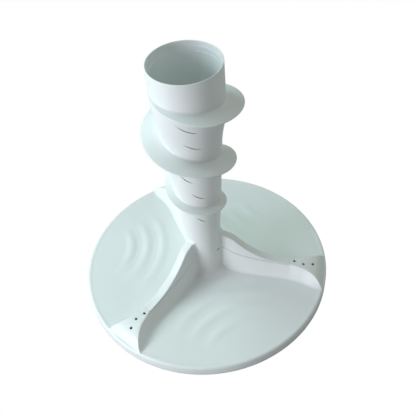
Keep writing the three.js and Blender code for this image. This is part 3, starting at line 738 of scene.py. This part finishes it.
def nodes_of(name):
    """New material, its node tree and its main shader."""
    material = bpy.data.materials.new(name)
    material.use_nodes = True
    tree = material.node_tree
    return material, tree, tree.nodes["Principled BSDF"]


def noise(tree, scale, detail=3.0):
    """Cloudy pattern in object space; scale is in clouds per metre."""
    coordinates = tree.nodes.new("ShaderNodeTexCoord")
    texture = tree.nodes.new("ShaderNodeTexNoise")
    texture.inputs["Scale"].default_value = scale
    texture.inputs["Detail"].default_value = detail
    tree.links.new(coordinates.outputs["Object"], texture.inputs["Vector"])
    return texture.outputs["Fac"]


def ramp(tree, factor, low, high, low_at=0.3, high_at=0.7):
    """Colour that goes from low to high as the factor does from low_at to high_at."""
    node = tree.nodes.new("ShaderNodeValToRGB")
    node.color_ramp.elements[0].position = low_at
    node.color_ramp.elements[1].position = high_at
    node.color_ramp.elements[0].color = (*low, 1)
    node.color_ramp.elements[1].color = (*high, 1)
    tree.links.new(factor, node.inputs["Fac"])
    return node.outputs["Color"]


def spread_value(tree, factor, low, high):
    """Value between low and high that follows a noise pattern."""
    node = tree.nodes.new("ShaderNodeMapRange")
    node.inputs["From Min"].default_value = 0.3
    node.inputs["From Max"].default_value = 0.7
    node.inputs["To Min"].default_value = low
    node.inputs["To Max"].default_value = high
    tree.links.new(factor, node.inputs["Value"])
    return node.outputs["Result"]


def bump(tree, height, strength, distance, before=None):
    """Surface relief from a height pattern, on top of another relief if one is given."""
    node = tree.nodes.new("ShaderNodeBump")
    node.inputs["Strength"].default_value = strength
    node.inputs["Distance"].default_value = distance
    tree.links.new(height, node.inputs["Height"])
    if before is not None:
        tree.links.new(before, node.inputs["Normal"])
    return node.outputs["Normal"]


def plastic(name, pale, deep, roughness, grain=0.06, softness=0.06):
    """Moulded plastic: cloudy colour, faint mould grain, and painted shade that greys its crevices a
    little.
    """
    material, tree, shader = nodes_of(name)
    cloud = ramp(tree, noise(tree, 9.0), deep, pale)
    # Painted shade: ambient occlusion darkens the base colour a little in crevices, corners and recesses.
    painted_crevice_shade = tree.nodes.new("ShaderNodeAmbientOcclusion")
    painted_crevice_shade.inputs["Distance"].default_value = 0.012
    painted_crevice_shade.samples = 8
    shade = ramp(tree, painted_crevice_shade.outputs["AO"], (0.72, 0.74, 0.72), (1, 1, 1), 0.15, 0.75)
    mix = tree.nodes.new("ShaderNodeMix")
    mix.data_type = "RGBA"
    mix.blend_type = "MULTIPLY"
    mix.inputs["Factor"].default_value = 0.6
    tree.links.new(cloud, mix.inputs["A"])
    tree.links.new(shade, mix.inputs["B"])
    tree.links.new(mix.outputs["Result"], shader.inputs["Base Color"])
    tree.links.new(spread_value(tree, noise(tree, 60.0, 4.0), roughness - 0.05, roughness + 0.06),
                   shader.inputs["Roughness"])
    wavy = bump(tree, noise(tree, 25.0, 2.0), 0.05, 0.002)
    fine = bump(tree, noise(tree, 1400.0, 2.0), grain, 0.0002, wavy)
    tree.links.new(fine, shader.inputs["Normal"])
    shader.inputs["IOR"].default_value = 1.49
    shader.inputs["Subsurface Weight"].default_value = softness
    shader.inputs["Subsurface Radius"].default_value = (0.004, 0.004, 0.0036)
    return material


def steel(name):
    """Zinc-plated steel with fine turning marks and dull patches."""
    material, tree, shader = nodes_of(name)
    shader.inputs["Metallic"].default_value = 1.0
    tree.links.new(ramp(tree, noise(tree, 180.0), (0.42, 0.43, 0.45), (0.66, 0.67, 0.69)),
                   shader.inputs["Base Color"])
    tree.links.new(spread_value(tree, noise(tree, 700.0, 4.0), 0.22, 0.42), shader.inputs["Roughness"])
    rings = tree.nodes.new("ShaderNodeTexWave")
    rings.wave_type = "RINGS"
    rings.rings_direction = "Z"
    rings.inputs["Scale"].default_value = 900.0
    rings.inputs["Distortion"].default_value = 1.5
    coordinates = tree.nodes.new("ShaderNodeTexCoord")
    tree.links.new(coordinates.outputs["Object"], rings.inputs["Vector"])
    tree.links.new(bump(tree, rings.outputs["Fac"], 0.15, 0.0001), shader.inputs["Normal"])
    return material


def rubber(name):
    """Black seal rubber with a dusty bloom."""
    material, tree, shader = nodes_of(name)
    tree.links.new(ramp(tree, noise(tree, 220.0), (0.012, 0.012, 0.013), (0.035, 0.036, 0.038)),
                   shader.inputs["Base Color"])
    tree.links.new(spread_value(tree, noise(tree, 500.0), 0.62, 0.85), shader.inputs["Roughness"])
    tree.links.new(bump(tree, noise(tree, 1800.0), 0.2, 0.0002), shader.inputs["Normal"])
    return material


WHITE = (0.80, 0.83, 0.82)
DEEP_WHITE = (0.77, 0.80, 0.79)
LOOKS = {
    "plate_plastic": plastic("plate_plastic", WHITE, DEEP_WHITE, 0.42),
    "white_plastic": plastic("white_plastic", WHITE, DEEP_WHITE, 0.38),
    "inner_plastic": plastic("inner_plastic", (0.78, 0.76, 0.69), (0.73, 0.71, 0.63), 0.45),
    "dog_plastic": plastic("dog_plastic", (0.69, 0.58, 0.37), (0.62, 0.51, 0.31), 0.40),
    "block_plastic": plastic("block_plastic", (0.085, 0.09, 0.10), (0.055, 0.06, 0.068), 0.50, 0.15, 0.0),
    "steel": steel("steel"),
    "rubber": rubber("rubber"),
}


# ---- carried-over CAD nodes ----

NODE_LOOKS = {
    "thrust_ring": "inner_plastic", "drive_block": "block_plastic", "clutch_cam": "inner_plastic",
    "clutch_dog": "dog_plastic", "dog_retainer": "inner_plastic", "bolt_seal": "rubber",
    "bolt_washer": "steel", "hub_bolt": "steel", "inner_cap_seal": "rubber", "inner_cap": "white_plastic",
    "plate_screw": "steel"}
EDGE_BREAK = 0.2
EDGE_ANGLE = 50.0


def dress_cad_nodes():
    """Procedural materials and broken edges for the CAD nodes that stay visible."""
    for name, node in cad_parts.items():
        if node.hide_render:
            continue
        kind = name if name in NODE_LOOKS else name.rsplit("_", 1)[0]
        node.data.materials.clear()
        node.data.materials.append(LOOKS[NODE_LOOKS[kind]])
        edges = node.modifiers.new("broken_edges", "BEVEL")
        edges.width = EDGE_BREAK * MM
        edges.segments = 2
        edges.limit_method = "ANGLE"
        edges.angle_limit = math.radians(EDGE_ANGLE)


# ---- floor, light and camera ----

FLOOR_SIZE = 30.0
SHADED_SHARE = 0.95         # share of the plate's radius under which the floor shows its shade


def floor():
    """Floor that is plain white to the camera, and a shaded grey where the plate's holes show it."""
    bpy.ops.mesh.primitive_plane_add(size=FLOOR_SIZE)
    plane = bpy.context.object
    plane.name = "floor"
    material, tree, shader = nodes_of("floor_white")
    shader.inputs["Base Color"].default_value = (0.5, 0.5, 0.5, 1)
    shader.inputs["Roughness"].default_value = 0.9
    glow = tree.nodes.new("ShaderNodeEmission")
    glow.inputs["Strength"].default_value = 1.0
    ray = tree.nodes.new("ShaderNodeLightPath")
    place = tree.nodes.new("ShaderNodeNewGeometry")
    distance = tree.nodes.new("ShaderNodeVectorMath")
    distance.operation = "LENGTH"
    beyond = tree.nodes.new("ShaderNodeMath")
    beyond.operation = "GREATER_THAN"
    beyond.inputs[1].default_value = SHADED_SHARE * PLATE_RADIUS * MM
    share = tree.nodes.new("ShaderNodeMath")
    share.operation = "MULTIPLY"
    mix = tree.nodes.new("ShaderNodeMixShader")
    tree.links.new(place.outputs["Position"], distance.inputs[0])
    tree.links.new(distance.outputs["Value"], beyond.inputs[0])
    tree.links.new(ray.outputs["Is Camera Ray"], share.inputs[0])
    tree.links.new(beyond.outputs["Value"], share.inputs[1])
    tree.links.new(share.outputs["Value"], mix.inputs["Fac"])
    tree.links.new(shader.outputs["BSDF"], mix.inputs[1])
    tree.links.new(glow.outputs["Emission"], mix.inputs[2])
    tree.links.new(mix.outputs["Shader"], tree.nodes["Material Output"].inputs["Surface"])
    plane.data.materials.append(material)


LIGHT_DISTANCE = 2.2
LIGHT_TARGET = Vector((0, 0, 0.15))


def towards(azimuth, elevation):
    """Direction from the object to a light."""
    a, e = math.radians(azimuth), math.radians(elevation)
    return Vector((math.cos(a) * math.cos(e), math.sin(a) * math.cos(e), math.sin(e)))


def sky(colour):
    """Even dim light from everywhere, behind a white backdrop that only the camera sees."""
    world = bpy.data.worlds.new("studio")
    bpy.context.scene.world = world
    world.use_nodes = True
    tree = world.node_tree
    light = tree.nodes["Background"]
    light.inputs["Color"].default_value = (*colour, 1)
    backdrop = tree.nodes.new("ShaderNodeBackground")
    backdrop.inputs["Color"].default_value = (1, 1, 1, 1)
    ray = tree.nodes.new("ShaderNodeLightPath")
    mix = tree.nodes.new("ShaderNodeMixShader")
    tree.links.new(ray.outputs["Is Camera Ray"], mix.inputs["Fac"])
    tree.links.new(light.outputs["Background"], mix.inputs[1])
    tree.links.new(backdrop.outputs["Background"], mix.inputs[2])
    tree.links.new(mix.outputs["Shader"], tree.nodes["World Output"].inputs["Surface"])


def softbox(name, azimuth, elevation, size, power, colour):
    """Square area light aimed at the middle of the object."""
    light = bpy.data.lights.new(name, "AREA")
    light.shape = "SQUARE"
    light.size = size
    light.energy = power
    light.color = colour
    lamp = bpy.data.objects.new(name, light)
    bpy.context.scene.collection.objects.link(lamp)
    direction = towards(azimuth, elevation)
    lamp.location = direction * LIGHT_DISTANCE + LIGHT_TARGET
    lamp.rotation_mode = "QUATERNION"
    lamp.rotation_quaternion = direction.to_track_quat("Z", "Y")


CAMERA_PLACE = (0.0, -0.7056, 0.9219)
CAMERA_TURN = (42.94, 3.826, -5.131)
CAMERA_LENS = 52.02


def camera():
    """Camera that looks down on the object from the front, tilted a little to one side."""
    data = bpy.data.cameras.new("camera")
    data.sensor_width = 36.0
    data.lens = CAMERA_LENS
    data.clip_start, data.clip_end = 0.05, 50.0
    eye = bpy.data.objects.new("camera", data)
    bpy.context.scene.collection.objects.link(eye)
    eye.location = CAMERA_PLACE
    eye.rotation_euler = [math.radians(angle) for angle in CAMERA_TURN]
    bpy.context.scene.camera = eye


build_plate()
build_vanes()
build_column()
build_auger()
dress_cad_nodes()

floor()
sky((0.335, 0.33, 0.33))
softbox("low_light", -150.0, 8.0, 0.7, 21.6, (0.98, 1.0, 1.02))
softbox("left_light", -161.0, 28.0, 0.7, 10.5, (0.90, 0.97, 1.20))
softbox("back_light", 150.0, 50.0, 1.3, 18.0, (0.80, 1.14, 1.08))
softbox("right_light", 10.0, 60.0, 1.3, 2.2, (0.6, 1.2, 1.0))
softbox("low_right_light", 32.0, 20.0, 1.0, 2.8, (1.0, 1.1, 0.8))
bpy.context.scene.view_settings.view_transform = "Standard"
camera()
